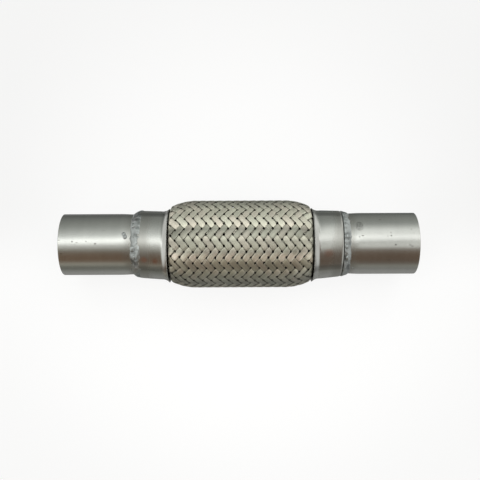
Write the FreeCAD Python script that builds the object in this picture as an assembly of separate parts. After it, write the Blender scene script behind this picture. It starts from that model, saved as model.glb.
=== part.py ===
import FreeCAD, Part
import math
import os

# Flexible exhaust pipe: a braided bellows section between two plain tube ends.
# The axis runs along X from the inlet end to the outlet end, Z is up, and the
# origin is the middle of the whole pipe. Lengths are millimetres, angles degrees.

# Tube ends, cut square and brushed
tube_od = 44.45
tube_wall = 1.5
inlet_tube_length = 55.4
outlet_tube_length = 53.2

# End caps: a collar over the welded stack, flared to a lip over the braid
cap_length = 21.2
cap_wall = 1.3
cap_taper = 0.35
flare_length = 4.9
flare_rise = 2.1
flare_steps = 3
edge_chamfer = 0.8
cap_sides = 60

# Layers held in the collar, from the bore outwards
liner_recess = 0.45
liner_wall = 0.65
bellows_wall = 0.4
tail_wall = 0.75
layer_sides = 15

# Braid: wire strands wound both ways, each over two and under two
braid_span = 103.0
belly_rise = 7.25
shoulder_length = 19.6
shoulder_tuck = 0.3
braid_wall = 2.0
ridge_height = 1.7
strand_pairs = 12
crossing_step = 2.94
weave_centre = 1.89
weave_turn = 3.75
lip_gap = 0.8
mouth_depth = 0.5
gap_width = 1.5
gap_length = 1.2
gap_rows = 4
gap_columns = 4

# Bellows convolutions, which bend, stretch and seal
convolutions = 9
root_rise = 2.2
bellows_clearance = 0.3
neck_length = 7.0

# Strip wound liner, which keeps the hot gas off the bellows
liner_turns = 11
liner_step = 0.4

# Weld beads between cap and tube end, on a neck that the weld has drawn in
weld_neck_draw = 0.4
bead_stations = 30
bead_reach = 4.8
bead_ripple = 0.3
bead_margin = 0.6
bead_seat_gap = 0.05
inlet_bead_lap = 2.4
inlet_bead_rise = 0.6
outlet_bead_lap = 0.7
outlet_bead_rise = 0.1

# Places along the axis
overall_length = inlet_tube_length + outlet_tube_length + 2 * cap_length + braid_span
inlet_face = -overall_length / 2
outlet_face = overall_length / 2
inlet_seam = inlet_face + inlet_tube_length
outlet_seam = outlet_face - outlet_tube_length
inlet_lip = inlet_seam + cap_length
outlet_lip = outlet_seam - cap_length
braid_middle = (inlet_lip + outlet_lip) / 2
belly_half = braid_span / 2 - shoulder_length
outlet_root = outlet_lip + flare_length
mouth_left = inlet_lip - mouth_depth
mouth_right = outlet_lip + mouth_depth

# The weave's rows: crossings and gaps alternate along each
rows = 4 * strand_pairs
row_angle = 360.0 / rows
braid_sides = rows // 2
flat_factor = math.cos(math.pi / braid_sides)

# Radii of the stack, each seated on the one before
tube_radius = tube_od / 2
tube_bore = tube_radius - tube_wall
weld_neck_radius = tube_radius - weld_neck_draw
weld_neck_length = bead_reach + 2 * bead_ripple + bead_margin
liner_inside = tube_bore + liner_recess
liner_outside = liner_inside + liner_wall
cuff_outside = liner_outside + bellows_wall
tail_inside = cuff_outside / flat_factor
tail_outside = tail_inside + tail_wall
cap_bore = tail_outside / math.cos(math.pi / cap_sides)
cap_outside = cap_bore + cap_wall
collar_end = cap_outside + cap_taper
lip_radius = collar_end + flare_rise
mouth_radius = lip_radius - cap_wall - lip_gap
belly_radius = cap_outside + belly_rise
shoulder_drop = belly_radius - lip_radius + shoulder_tuck
shoulder_radius = (shoulder_length ** 2 + shoulder_drop ** 2) / (2 * shoulder_drop)


def point(x, radius, row):
    """A point at x, at a radius, on a row counted round the axis from the top."""
    angle = math.radians(weave_turn + row_angle * row)
    return FreeCAD.Vector(x, -radius * math.sin(angle), radius * math.cos(angle))


def ring(x, radius, sides):
    """The corners of a ring with flat sides, the first on the row below the top one."""
    return [point(x, radius, 1 + rows * k / sides) for k in range(sides)]


def face(corners, openings=()):
    """A flat face with its corners anticlockwise from outside, and any openings."""
    outline = Part.makePolygon(list(corners) + [corners[0]])
    holes = [Part.makePolygon(list(hole) + [hole[0]]) for hole in openings]
    return Part.Face([outline] + holes)


def band(first, second):
    """Triangles between two rings, facing outwards when x grows to the second."""
    faces = []
    count = len(first)
    for k in range(count):
        after = (k + 1) % count
        faces.append(face((first[k], first[after], second[k])))
        faces.append(face((first[after], second[after], second[k])))
    return faces


def closed(faces):
    """One solid from faces that shut a volume."""
    solid = Part.makeSolid(Part.makeShell(faces))
    if solid.Volume < 0:
        solid.reverse()
    return solid


def flat_band(first, second):
    """Flat four-cornered sides between two rings that are turned alike."""
    faces = []
    count = len(first)
    for k in range(count):
        after = (k + 1) % count
        faces.append(face((first[k], first[after], second[after], second[k])))
    return faces


def faceted_ring(section, sides):
    """A ring with flat sides from a closed section of (x, radius) corners."""
    rings = [ring(x, radius, sides) for x, radius in section]
    faces = []
    for k in range(len(rings)):
        faces += flat_band(rings[k], rings[(k + 1) % len(rings)])
    return closed(faces)


def weld_point(x, radius, turn):
    """A point at x, at a radius, at a turn round the pipe from the top."""
    return FreeCAD.Vector(x, radius * math.cos(turn), radius * math.sin(turn))


def weld_ring(x, radius):
    """The corners of the ring that a weld bead sits on."""
    return [weld_point(x, radius, 2 * math.pi * k / bead_stations) for k in range(bead_stations)]


def tube_end(face_x, seam_x):
    """A plain tube end from its open face to the collar, drawn in where the weld sits on it."""
    toward = math.copysign(1.0, seam_x - face_x)
    axis = FreeCAD.Vector(toward, 0, 0)
    neck_x = seam_x - toward * weld_neck_length
    start = FreeCAD.Vector(face_x, 0, 0)
    plain = Part.makeCylinder(tube_radius, abs(neck_x - face_x), start, axis)
    seat = weld_ring(neck_x, weld_neck_radius)
    neck = Part.Face(Part.makePolygon(seat + seat[:1])).extrude(axis * weld_neck_length)
    bore = Part.makeCylinder(tube_bore, abs(seam_x - face_x), start, axis)
    return plain.fuse(neck).cut(bore)


def end_cap(seam_x, lip_x):
    """The collar with a chamfered end, and the flare that curves out to its lip."""
    toward = math.copysign(1.0, lip_x - seam_x)
    root_x = lip_x - toward * flare_length
    flare_radius = (flare_length ** 2 + flare_rise ** 2) / (2 * flare_rise)
    lip_angle = math.asin(flare_length / flare_radius)
    section = [(seam_x, cap_bore), (seam_x, cap_outside - edge_chamfer),
               (seam_x + toward * edge_chamfer, cap_outside), (root_x, collar_end)]
    for k in range(1, flare_steps + 1):
        angle = lip_angle * k / flare_steps
        section.append((root_x + toward * flare_radius * math.sin(angle),
                        collar_end + flare_radius * (1 - math.cos(angle))))
    section += [(lip_x, lip_radius - cap_wall), (root_x, cap_bore + cap_taper)]
    return faceted_ring(section, cap_sides)


def bead_wander(turn):
    """How proud the bead stands at a turn round the pipe: slow waves of a hand-fed weld."""
    return bead_ripple * (0.3 * math.sin(3 * turn) + 0.2 * math.sin(7 * turn + 1))


def weld_bead(seam_x, outward, lap, rise):
    """A rippled bead that fills the step from the tube up to the collar's end."""
    seat = 1 / math.cos(math.pi / bead_stations)
    crown = cap_outside + rise
    lap_seat = (cap_outside + cap_taper) * seat + bead_seat_gap
    stations = []
    for k in range(bead_stations):
        turn = 2 * math.pi * k / bead_stations
        ripple = bead_wander(turn) + bead_ripple / 2 * (k % 2)
        section = [(bead_reach + 2 * ripple, weld_neck_radius),
                   (bead_reach / 3 + ripple, crown - cap_wall / 2 + ripple),
                   (-lap / 2, crown + ripple),
                   (-lap - ripple, lap_seat),
                   (0, cap_outside * seat + bead_seat_gap),
                   (0, weld_neck_radius)]
        stations.append([weld_point(seam_x + outward * x, r, turn) for x, r in section])
    faces = []
    for k in range(bead_stations):
        faces += band(stations[k], stations[(k + 1) % bead_stations])
    return closed(faces)


def past_belly(x):
    """How far x lies beyond the belly's flat middle."""
    return max(abs(x - braid_middle) - belly_half, 0.0)


def shoulder(x):
    """The braid's outer radius at x: a straight belly that is rounded down to both lips."""
    return belly_radius - shoulder_radius + math.sqrt(shoulder_radius ** 2 - past_belly(x) ** 2)


def braid_inside(x):
    """The braid's inner radius at x, one wall below its outer curve."""
    return shoulder(x) - braid_wall / math.sqrt(1 - (past_belly(x) / shoulder_radius) ** 2)


def weave_columns():
    """Places along x of the weave's columns, with strands of one length between crossings."""
    cell = math.hypot(crossing_step, math.radians(row_angle) * belly_radius)
    samples = 200
    sides = []
    for mouth in (mouth_left, mouth_right):
        xs = [weave_centre + (mouth - weave_centre) * k / samples for k in range(samples + 1)]
        counted = [0.0]
        for a, b in zip(xs, xs[1:]):
            run = math.hypot(b - a, shoulder(b) - shoulder(a))
            across = math.radians(row_angle) * shoulder((a + b) / 2)
            counted.append(counted[-1] + run / math.sqrt(cell ** 2 - across ** 2))
        steps = 2 * round((counted[-1] - 1) / 2) + 1
        places = []
        k = 0
        for n in range(1, steps):
            wanted = counted[-1] * n / steps
            while counted[k + 1] < wanted:
                k += 1
            share = (wanted - counted[k]) / (counted[k + 1] - counted[k])
            places.append(xs[k] + (xs[k + 1] - xs[k]) * share)
        sides.append(places + [mouth])
    return sides[0][::-1] + [weave_centre] + sides[1]


columns = weave_columns()
last = len(columns) - 1
around = ((1, 0), (0, 1), (-1, 0), (0, -1))


def partner(m, n):
    """The second crossing under the same strand's float, or none at the braid's ends."""
    step_m, step_n = ((-1, -1), (1, -1), (-1, 1), (1, 1))[m % 4]
    other = n + step_n
    if 1 <= other <= last - 1:
        return ((m + step_m) % rows, other)
    return None


def has_gap(m, n):
    """Whether the space between four crossings is open right through the wall."""
    if m % gap_rows or abs(columns[n] - braid_middle) > belly_half - crossing_step:
        return False
    return (n - 1 - 2 * (m // gap_rows % 2)) % gap_columns == 0


def crossing(m, n):
    """The crown of the strand on top at a crossing."""
    return point(columns[n], shoulder(columns[n]), m)


def valley(m, n):
    """The low point between four crossings."""
    if n in (0, last):
        return point(columns[n], mouth_radius, m)
    return point(columns[n], shoulder(columns[n]) - ridge_height, m)


def edge_of_gap(m, n, step_m, step_n):
    """A corner of an open gap, on the way from its middle to a neighbouring crossing."""
    middle = valley(m, n)
    crown = crossing(m + step_m, n + step_n)
    half = gap_width / 2 if step_m else gap_length / 2
    return middle + (crown - middle) * (half / (crown - middle).Length)


def corner(m, n, step_m, step_n):
    """A float's corner at a space, moved to the gap's edge where the space is open."""
    if has_gap(m % rows, n):
        return edge_of_gap(m, n, step_m, step_n)
    return valley(m, n)


def float_faces(m, n):
    """The faces of one crossing, shared along the ridge with its float's partner."""
    crown = crossing(m, n)
    mate = partner(m, n)
    faces = []
    for k in range(4):
        (am, an) = around[k]
        (bm, bn) = around[(k + 1) % 4]
        first = corner(m + am, n + an, -am, -an)
        second = corner(m + bm, n + bn, -bm, -bn)
        if mate == ((m + am + bm) % rows, n + an + bn):
            other = crossing(m + am + bm, n + an + bn)
            faces.append(face((crown, first, other)))
            near = corner(m + am, n + an, bm, bn)
            if near != first:
                faces.append(face((first, near, other)))
        else:
            faces.append(face((crown, first, second)))
    return faces


def gap_rim(m, n):
    """The slivers of valley beside an open gap."""
    faces = []
    for k in range(4):
        (am, an) = around[k]
        (bm, bn) = around[(k + 1) % 4]
        if partner((m + am) % rows, n + an) != ((m + bm) % rows, n + bn):
            faces.append(face((edge_of_gap(m, n, am, an), valley(m + am + bm, n + an + bn),
                               edge_of_gap(m, n, bm, bn))))
    return faces


def outer_weave():
    """The floats of both strand directions over the whole visible braid."""
    faces = []
    for n in range(1, last):
        for m in range(rows):
            if (m + n) % 2 == 0:
                faces += float_faces(m, n)
            elif has_gap(m, n):
                faces += gap_rim(m, n)
    for m in range(0, rows, 2):
        faces.append(face((valley(m - 1, 0), valley(m + 1, 0), valley(m, 1))))
        faces.append(face((valley(m + 1, last), valley(m - 1, last), valley(m, last - 1))))
    return faces


def belly_lining():
    """The flat inner facets under the belly and the walls of the gaps that pierce them."""
    left = braid_middle - belly_half
    right = braid_middle + belly_half
    radius = braid_inside(braid_middle)
    faces = []
    for m in range(0, rows, 2):
        outward = point(0, 1, m)
        openings = []
        for n in range(1, last, 2):
            if has_gap(m, n):
                outer = [edge_of_gap(m, n, am, an) for am, an in around]
                inner = [p - outward * (p.dot(outward) - radius * flat_factor) for p in outer]
                openings.append(inner)
                for k in range(4):
                    after = (k + 1) % 4
                    faces.append(face((outer[k], outer[after], inner[after], inner[k])))
        faces.append(face((point(right, radius, m - 1), point(right, radius, m + 1),
                           point(left, radius, m + 1), point(left, radius, m - 1)), openings))
    return faces


def outer_braid():
    """The braid as one wall: woven outside, faceted inside, with gaps and plain tails."""
    faces = outer_weave() + belly_lining()
    left = braid_middle - belly_half
    right = braid_middle + belly_half
    inside = []
    for share in (0.4, 0.8):
        x = right + share * shoulder_length
        inside.append((x, braid_inside(x)))
    tail = [(mouth_right, mouth_radius - tail_wall), (outlet_seam, tail_inside),
            (outlet_seam, tail_outside), (outlet_root, tail_outside + cap_taper), (mouth_right, mouth_radius)]
    outlet_end = [(right, braid_inside(right))] + inside + tail
    inlet_end = [(2 * braid_middle - x, radius) for x, radius in outlet_end]
    for corners in (outlet_end, inlet_end):
        rings = [ring(x, radius, braid_sides) for x, radius in corners]
        if corners is outlet_end:
            rings.reverse()
        for first, second in zip(rings, rings[1:]):
            faces += flat_band(first, second)
    return closed(faces)


def bellows():
    """A thin corrugated tube with plain cuffs that reach back into the collars."""
    start = inlet_lip + neck_length
    pitch = (outlet_lip - neck_length - start) / convolutions
    root = cuff_outside + root_rise
    crests = []
    for k in range(convolutions):
        x = start + pitch * (k + 0.5)
        crests.append((x, braid_inside(x) * flat_factor - bellows_clearance))
    roots = [(start + pitch * k, root) for k in range(1, convolutions)]
    folds = sorted(crests + roots)
    depth = max(radius for x, radius in crests) - root
    slant_wall = bellows_wall * math.hypot(pitch / 2, depth) / (pitch / 2)
    outside = [(inlet_seam, cuff_outside), (start, cuff_outside)] + folds
    outside += [(outlet_lip - neck_length, cuff_outside), (outlet_seam, cuff_outside)]
    inside = [(inlet_seam, liner_outside), (start, liner_outside)]
    inside += [(x, radius - slant_wall) for x, radius in folds]
    inside += [(outlet_lip - neck_length, liner_outside), (outlet_seam, liner_outside)]
    return faceted_ring(outside + inside[::-1], layer_sides)


def interlock_liner():
    """A strip wound tube: each turn hooks over the one before with a small step."""
    pitch = (outlet_lip - inlet_lip) / liner_turns
    section = [(inlet_seam, liner_outside), (outlet_seam, liner_outside), (outlet_seam, liner_inside)]
    for k in range(liner_turns):
        x = outlet_lip - pitch * k
        section.append((x, liner_inside))
        section.append((x - pitch, liner_inside + liner_step))
    section.append((inlet_lip, liner_inside))
    section.append((inlet_seam, liner_inside))
    return faceted_ring(section, layer_sides)


parts = {
    "inlet_tube_end": tube_end(inlet_face, inlet_seam),
    "outlet_tube_end": tube_end(outlet_face, outlet_seam),
    "inlet_end_cap": end_cap(inlet_seam, inlet_lip),
    "outlet_end_cap": end_cap(outlet_seam, outlet_lip),
    "inlet_weld_bead": weld_bead(inlet_seam, -1, inlet_bead_lap, inlet_bead_rise),
    "outlet_weld_bead": weld_bead(outlet_seam, 1, outlet_bead_lap, outlet_bead_rise),
    "outer_braid": outer_braid(),
    "bellows": bellows(),
    "interlock_liner": interlock_liner(),
}

os.makedirs("parts", exist_ok=True)
for name, solid in parts.items():
    solid.exportStep("parts/" + name + ".step")
    print(name, "volume", round(solid.Volume), "valid", solid.isValid(), "faces", len(solid.Faces))
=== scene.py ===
import math

import bmesh
import bpy
from bpy.props import FloatProperty, FloatVectorProperty, IntProperty, PointerProperty
from mathutils import Matrix, Vector


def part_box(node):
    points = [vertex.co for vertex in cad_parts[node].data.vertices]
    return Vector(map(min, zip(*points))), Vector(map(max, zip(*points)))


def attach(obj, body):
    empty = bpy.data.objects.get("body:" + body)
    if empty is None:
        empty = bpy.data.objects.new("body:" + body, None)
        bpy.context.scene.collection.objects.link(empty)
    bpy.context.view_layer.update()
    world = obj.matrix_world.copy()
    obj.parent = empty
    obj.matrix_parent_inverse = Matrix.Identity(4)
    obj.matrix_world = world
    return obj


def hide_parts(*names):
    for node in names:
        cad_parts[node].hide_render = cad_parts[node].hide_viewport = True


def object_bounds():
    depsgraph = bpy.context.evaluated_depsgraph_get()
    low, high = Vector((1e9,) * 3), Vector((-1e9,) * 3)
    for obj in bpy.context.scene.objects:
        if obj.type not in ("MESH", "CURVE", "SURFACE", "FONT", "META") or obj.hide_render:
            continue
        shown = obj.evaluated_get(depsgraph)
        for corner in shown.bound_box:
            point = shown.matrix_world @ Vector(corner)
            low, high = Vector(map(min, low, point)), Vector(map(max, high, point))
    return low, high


bl_info = {
    "name": "Flexible Exhaust Pipe",
    "version": (1, 0, 0),
    "blender": (4, 5, 0),
    "location": "View3D > Sidebar > Exhaust Pipe",
    "description": "A braided flexible exhaust pipe, finished around its packed frame",
    "category": "Object",
}

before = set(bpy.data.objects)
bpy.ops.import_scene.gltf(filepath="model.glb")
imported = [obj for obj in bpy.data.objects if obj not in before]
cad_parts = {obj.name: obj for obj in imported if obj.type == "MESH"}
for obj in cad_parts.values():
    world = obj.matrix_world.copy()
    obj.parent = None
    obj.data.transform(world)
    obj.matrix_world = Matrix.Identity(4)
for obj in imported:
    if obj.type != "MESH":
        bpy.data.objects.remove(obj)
FRAME_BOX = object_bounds()

# Places along the axis and radii, in metres, from the frame
MM = 0.001
INLET_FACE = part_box("inlet_tube_end")[0].x
INLET_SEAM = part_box("inlet_tube_end")[1].x
OUTLET_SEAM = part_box("outlet_tube_end")[0].x
OUTLET_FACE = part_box("outlet_tube_end")[1].x
INLET_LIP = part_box("inlet_end_cap")[1].x
OUTLET_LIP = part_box("outlet_end_cap")[0].x
TUBE_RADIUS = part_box("inlet_tube_end")[1].z
LIP_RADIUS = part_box("inlet_end_cap")[1].z
BELLY_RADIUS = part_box("outer_braid")[1].z
LINER_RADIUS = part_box("interlock_liner")[1].z
BRAID_MIDDLE = (INLET_LIP + OUTLET_LIP) / 2
FLOOR_HEIGHT = FRAME_BOX[0].z
# the braid: half its length between the lips, its rounded shoulders, and where its strands end under a lip
HALF_BRAID = (OUTLET_LIP - INLET_LIP) / 2
SHOULDER = 19.6 * MM
MOUTH_RADIUS = LIP_RADIUS - 2.9 * MM


class PipeSizes(bpy.types.PropertyGroup):
    """Sizes of the tube ends, the collars and the welds."""

    tube_wall: FloatProperty(name="Tube wall", description="Wall of the tube ends", default=1.5 * MM, unit="LENGTH")
    neck_draw: FloatProperty(
        name="Neck draw", description="How far the tube is drawn in beside its weld", default=0.5 * MM, unit="LENGTH")
    neck_length: FloatProperty(
        name="Neck length", description="Length over which the tube is drawn in", default=14 * MM, unit="LENGTH")
    cap_wall: FloatProperty(name="Collar wall", description="Wall of the collars", default=1.3 * MM, unit="LENGTH")
    cap_outside: FloatProperty(
        name="Collar radius", description="Outer radius of a collar by its weld", default=24.5 * MM, unit="LENGTH")
    cap_taper: FloatProperty(
        name="Collar taper", description="How much wider the collar is by its flare", default=0.35 * MM,
        unit="LENGTH")
    flare_length: FloatProperty(
        name="Flare length", description="Length of the flare over the braid", default=4.9 * MM, unit="LENGTH")
    end_round: FloatProperty(
        name="End round", description="Rounding of a collar's end by its weld", default=1.5 * MM, unit="LENGTH")
    edge_round: FloatProperty(
        name="Edge round", description="Rounding of the cut edges", default=0.3 * MM, unit="LENGTH")
    cap_shift: FloatProperty(
        name="Lip shift", description="How far a collar's lip sits to one side", default=-1.1 * MM,
        unit="LENGTH")
    outlet_draw: FloatProperty(
        name="Outlet draw", description="How far the outlet collar is drawn in at its weld", default=0.6 * MM,
        unit="LENGTH")
    bead_reach: FloatProperty(
        name="Bead reach", description="How far a weld bead runs out on the tube", default=4.8 * MM, unit="LENGTH")
    turn_steps: IntProperty(
        name="Turn steps", description="Steps round each turned piece", default=192, min=24)


class BraidSizes(bpy.types.PropertyGroup):
    """Sizes of the wire braid."""

    strand_pairs: IntProperty(
        name="Strands each way", description="Strands wound in each direction", default=24, min=4)
    column_step: FloatProperty(
        name="Column step", description="Distance along the pipe between crossings on the belly",
        default=2.94 * MM, unit="LENGTH")
    phase: FloatProperty(
        name="Turn", description="How far the braid is turned from the top", default=math.radians(3.75),
        subtype="ANGLE")
    first_column: FloatProperty(
        name="First column", description="Where along the pipe a space lies on the first row",
        default=1.89 * MM, unit="LENGTH")
    wires: IntProperty(name="Wires", description="Wires side by side in a strand", default=7, min=2)
    wire_steps: IntProperty(name="Wire steps", description="Faces across the top of one wire", default=2, min=2)
    cover: FloatProperty(
        name="Cover", description="Share of the pitch that a strand's width takes", default=0.94, min=0.2, max=1)
    pinch: FloatProperty(
        name="Pinch", description="How much narrower a strand is beside a space", default=0.3, min=0, max=0.6)
    thickness: FloatProperty(
        name="Strand thickness", description="Thickness of a strand", default=0.46 * MM, unit="LENGTH")
    wave: FloatProperty(
        name="Weave height", description="How far a strand rises and dips from its mean", default=0.44 * MM,
        unit="LENGTH")
    crossing_steps: IntProperty(
        name="Steps per crossing", description="Steps along a strand from one crossing to the next", default=6, min=2)
    seed: IntProperty(name="Seed", description="Seed of the strands' small differences", default=7)


class StageSizes(bpy.types.PropertyGroup):
    """Places of the camera and strengths of the lamps."""

    lean: FloatProperty(
        name="Lean", description="How far the camera and the lamps are turned about the pipe from straight overhead",
        default=math.radians(1.35), subtype="ANGLE")
    roll: FloatProperty(
        name="Roll", description="Turn of the camera about its own line of sight", default=math.radians(-0.241),
        subtype="ANGLE")
    height: FloatProperty(
        name="Height", description="Distance from the pipe's axis to the camera", default=0.5, unit="LENGTH")
    lens: FloatProperty(name="Lens", description="Focal length in millimetres", default=51.3, min=10)
    lamp_power: FloatProperty(name="Lamp power", description="Power of the softbox in watts", default=1.3, min=0)
    lamp_spin: FloatProperty(
        name="Lamp spin", description="How far the softbox is turned on its own axis", default=math.radians(13),
        unit="ROTATION")
    fill_power: FloatProperty(
        name="Fill power", description="Power of the fill from the far side in watts", default=2.9, min=0)


class PipeFinish(bpy.types.PropertyGroup):
    """Colours and wear of the pipe's metals."""

    tube_colour: FloatVectorProperty(
        name="Tube colour", description="Colour of the brushed tube ends", default=(0.64, 0.645, 0.62),
        subtype="COLOR", min=0, max=1)
    collar_colour: FloatVectorProperty(
        name="Collar colour", description="Colour of the brushed collars", default=(0.6, 0.605, 0.58),
        subtype="COLOR", min=0, max=1)
    weld_colour: FloatVectorProperty(
        name="Weld colour", description="Colour of the weld metal", default=(0.44, 0.465, 0.46),
        subtype="COLOR", min=0, max=1)
    wire_colour: FloatVectorProperty(
        name="Wire colour", description="Colour of most of the braid's wire", default=(0.72, 0.7, 0.58),
        subtype="COLOR", min=0, max=1)
    # the bellows' own dark steel, kept darker still as painted shade so that the braid's gaps look black
    bellows_colour: FloatVectorProperty(
        name="Bellows colour", description="Colour of the bellows", default=(0.16, 0.155, 0.145),
        subtype="COLOR", min=0, max=1)
    liner_colour: FloatVectorProperty(
        name="Liner colour", description="Colour of the wound liner", default=(0.5, 0.5, 0.47),
        subtype="COLOR", min=0, max=1)
    brushing: FloatProperty(
        name="Brushing", description="Strength of the brush lines round the pipe", default=0.045, min=0, max=1)


class Value:
    """A node's output that is reckoned with in plain signs: each adds a math node to its tree."""

    def __init__(self, build, socket):
        self.build, self.socket = build, socket

    def __add__(self, other):
        return self.build.math("ADD", self, other)

    def __radd__(self, other):
        return self.build.math("ADD", other, self)

    def __sub__(self, other):
        return self.build.math("SUBTRACT", self, other)

    def __rsub__(self, other):
        return self.build.math("SUBTRACT", other, self)

    def __mul__(self, other):
        return self.build.math("MULTIPLY", self, other)

    def __rmul__(self, other):
        return self.build.math("MULTIPLY", other, self)

    def __truediv__(self, other):
        return self.build.math("DIVIDE", self, other)

    def __rtruediv__(self, other):
        return self.build.math("DIVIDE", other, self)

    def __abs__(self):
        return self.build.math("ABSOLUTE", self)


class Formula:
    """Adds nodes to a tree, so that a shape or an effect is written as it is worked out."""

    def __init__(self, tree):
        self.tree = tree

    def feed(self, socket, value):
        """Gives a socket a link or a plain value."""
        if isinstance(value, Value):
            self.tree.links.new(value.socket, socket)
        else:
            socket.default_value = value

    def node(self, kind, values=None, **settings):
        """A new node with its settings, its inputs fed by name or place."""
        node = self.tree.nodes.new(kind)
        for key, value in settings.items():
            setattr(node, key, value)
        for key, value in (values or {}).items():
            self.feed(node.inputs[key], value)
        return node

    def out(self, kind, values=None, pick=0, **settings):
        """One output of a new node."""
        return Value(self, self.node(kind, values, **settings).outputs[pick])

    def outs(self, kind, values=None, **settings):
        """All outputs of a new node, by name."""
        return {socket.name: Value(self, socket) for socket in self.node(kind, values, **settings).outputs}

    def math(self, operation, *terms):
        """A number worked out from one, two or three others."""
        return self.out("ShaderNodeMath", dict(enumerate(terms)), operation=operation)

    def vector(self, operation, *terms):
        """A vector worked out from others."""
        return self.out("ShaderNodeVectorMath", dict(enumerate(terms)), operation=operation)

    def scaled(self, vector, factor):
        """A vector or a colour times a number."""
        return self.out("ShaderNodeVectorMath", {0: vector, "Scale": factor}, operation="SCALE")

    def length(self, vector):
        """How long a vector is."""
        return self.out("ShaderNodeVectorMath", {0: vector}, "Value", operation="LENGTH")

    def xyz(self, x=0.0, y=0.0, z=0.0):
        """A vector from three numbers."""
        return self.out("ShaderNodeCombineXYZ", {0: x, 1: y, 2: z})

    def split(self, vector):
        """A vector's three numbers."""
        return list(self.outs("ShaderNodeSeparateXYZ", {0: vector}).values())

    def between(self, value, low, high, to_low=0.0, to_high=1.0, kind="LINEAR"):
        """A value moved from one range to another, and held at its ends."""
        return self.out("ShaderNodeMapRange", {0: value, 1: low, 2: high, 3: to_low, 4: to_high},
                        interpolation_type=kind)

    def eased(self, *terms):
        """A value moved as by between, but softly near its ends."""
        return self.between(*terms, kind="SMOOTHSTEP")

    def noise(self, place, detail, scale=1.0, **more):
        """Smooth noise from 0 to 1."""
        return self.out("ShaderNodeTexNoise", {"Vector": place, "Scale": scale, "Detail": detail, **more})

    def mixed(self, share, first, second):
        """The first colour where the share is none, the second where it is whole."""
        return self.out("ShaderNodeMix", {0: share, 6: first, 7: second}, 2, data_type="RGBA")

    def banded(self, share, bands, half, gain=1.0):
        """A colour read from bands, each (place, colour), as the share goes from minus half to half."""
        ramp = self.node("ShaderNodeValToRGB", {0: share})
        stops = ramp.color_ramp.elements
        while len(stops) < len(bands):
            stops.new(0.5)
        for stop, (place, colour) in zip(stops, bands):
            stop.position = (place + half) / (2 * half)
            stop.color = (*(part / gain for part in colour), 1)
        return self.scaled(Value(self, ramp.outputs[0]), gain)

    def shape(self, step, values, **settings):
        """The geometry that comes out of a Geometry Nodes step."""
        return self.out("GeometryNode" + step, values, **settings)

    def grid(self, columns, rows):
        """A flat sheet of points, joined up."""
        return self.shape("MeshGrid", {"Size X": 1.0, "Size Y": 1.0, "Vertices X": columns, "Vertices Y": rows})

    def grid_place(self, across, around):
        """A grid point's column, and its place in a section that closes on itself."""
        index = self.out("GeometryNodeInputIndex")
        column = self.math("FLOOR", (index + 0.5) / across)
        return column, self.math("MODULO", index - column * across, around)

    def stored(self, geometry, name, value, data_type="FLOAT", domain="POINT"):
        """The geometry with a value kept on it."""
        return self.shape("StoreNamedAttribute", {"Geometry": geometry, "Name": name, "Value": value},
                          data_type=data_type, domain=domain)

    def named(self, name, kind="FLOAT"):
        """A value that was kept on the geometry."""
        return self.out("GeometryNodeInputNamedAttribute", {"Name": name}, data_type=kind)

    def place_of(self, geometry, index, clamp=False):
        """Where one point of another geometry lies."""
        return self.shape("SampleIndex", {
            "Geometry": geometry, "Value": self.out("GeometryNodeInputPosition"), "Index": index},
            data_type="FLOAT_VECTOR", clamp=clamp)

    def finish(self, geometry, material):
        """Ends a tree: real geometry, smooth, in its material."""
        smooth = self.shape("SetShadeSmooth", {"Geometry": self.shape("RealizeInstances", {"Geometry": geometry})})
        self.node("NodeGroupOutput", {0: self.shape("SetMaterial", {"Geometry": smooth, "Material": material})})
        return self.tree


SOCKET_KINDS = {int: "Int", float: "Float"}


def group(kind, name, inputs, outputs, output_kind):
    """The formula of a new node group and what it is given. Each input has a default or the name of its kind."""
    tree = bpy.data.node_groups.new(name, kind + "NodeTree")
    for label, default in inputs.items():
        socket_kind = SOCKET_KINDS.get(type(default), default)
        socket = tree.interface.new_socket(label, in_out="INPUT", socket_type="NodeSocket" + socket_kind)
        if socket_kind != default:
            socket.default_value = default
    for label in outputs:
        tree.interface.new_socket(label, in_out="OUTPUT", socket_type="NodeSocket" + output_kind)
    build = Formula(tree)
    return build, build.outs("NodeGroupInput")


def geometry_tree(name, inputs):
    """A new Geometry Nodes tree that ends in a material."""
    inputs = {"Geometry": "Geometry", **inputs, "Material": "Material"}
    return group("Geometry", name, inputs, ("Geometry",), "Geometry")


def made_points(places):
    """A section as a loose mesh: its corners as (x, radius) or (x, radius, looseness), in order."""
    mesh = bpy.data.meshes.new("section")
    mesh.from_pydata([(x, loose[0] if loose else 0, radius) for x, radius, *loose in places], [], [])
    return mesh


def grown(name, mesh, tree, inputs, node_name):
    """Runs a tree on a mesh and keeps the result as a plain closed piece that replaces a node."""
    source = bpy.data.objects.new(name + "_source", mesh)
    bpy.context.scene.collection.objects.link(source)
    modifier = source.modifiers.new("grow", "NODES")
    modifier.node_group = tree
    for item in tree.interface.items_tree:
        if item.item_type == "SOCKET" and item.in_out == "INPUT" and item.name in inputs:
            modifier[item.identifier] = inputs[item.name]
    source.update_tag()
    graph = bpy.context.evaluated_depsgraph_get()
    result = bpy.data.meshes.new_from_object(source.evaluated_get(graph), depsgraph=graph)
    source.modifiers.remove(modifier)
    bpy.data.objects.remove(source)
    if not result.polygons:
        raise RuntimeError(name + " came out empty")
    shell = bmesh.new()
    shell.from_mesh(result)
    bmesh.ops.remove_doubles(shell, verts=shell.verts, dist=0.5e-6)
    bmesh.ops.dissolve_degenerate(shell, edges=shell.edges, dist=0.2e-6)
    bmesh.ops.holes_fill(shell, edges=shell.edges, sides=0)
    bmesh.ops.recalc_face_normals(shell, faces=shell.faces)
    shell.to_mesh(result)
    shell.free()
    result.name = name
    piece = bpy.data.objects.new(name, result)
    bpy.context.scene.collection.objects.link(piece)
    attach(piece, "root")
    if node_name:
        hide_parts(node_name)
    return piece


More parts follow.
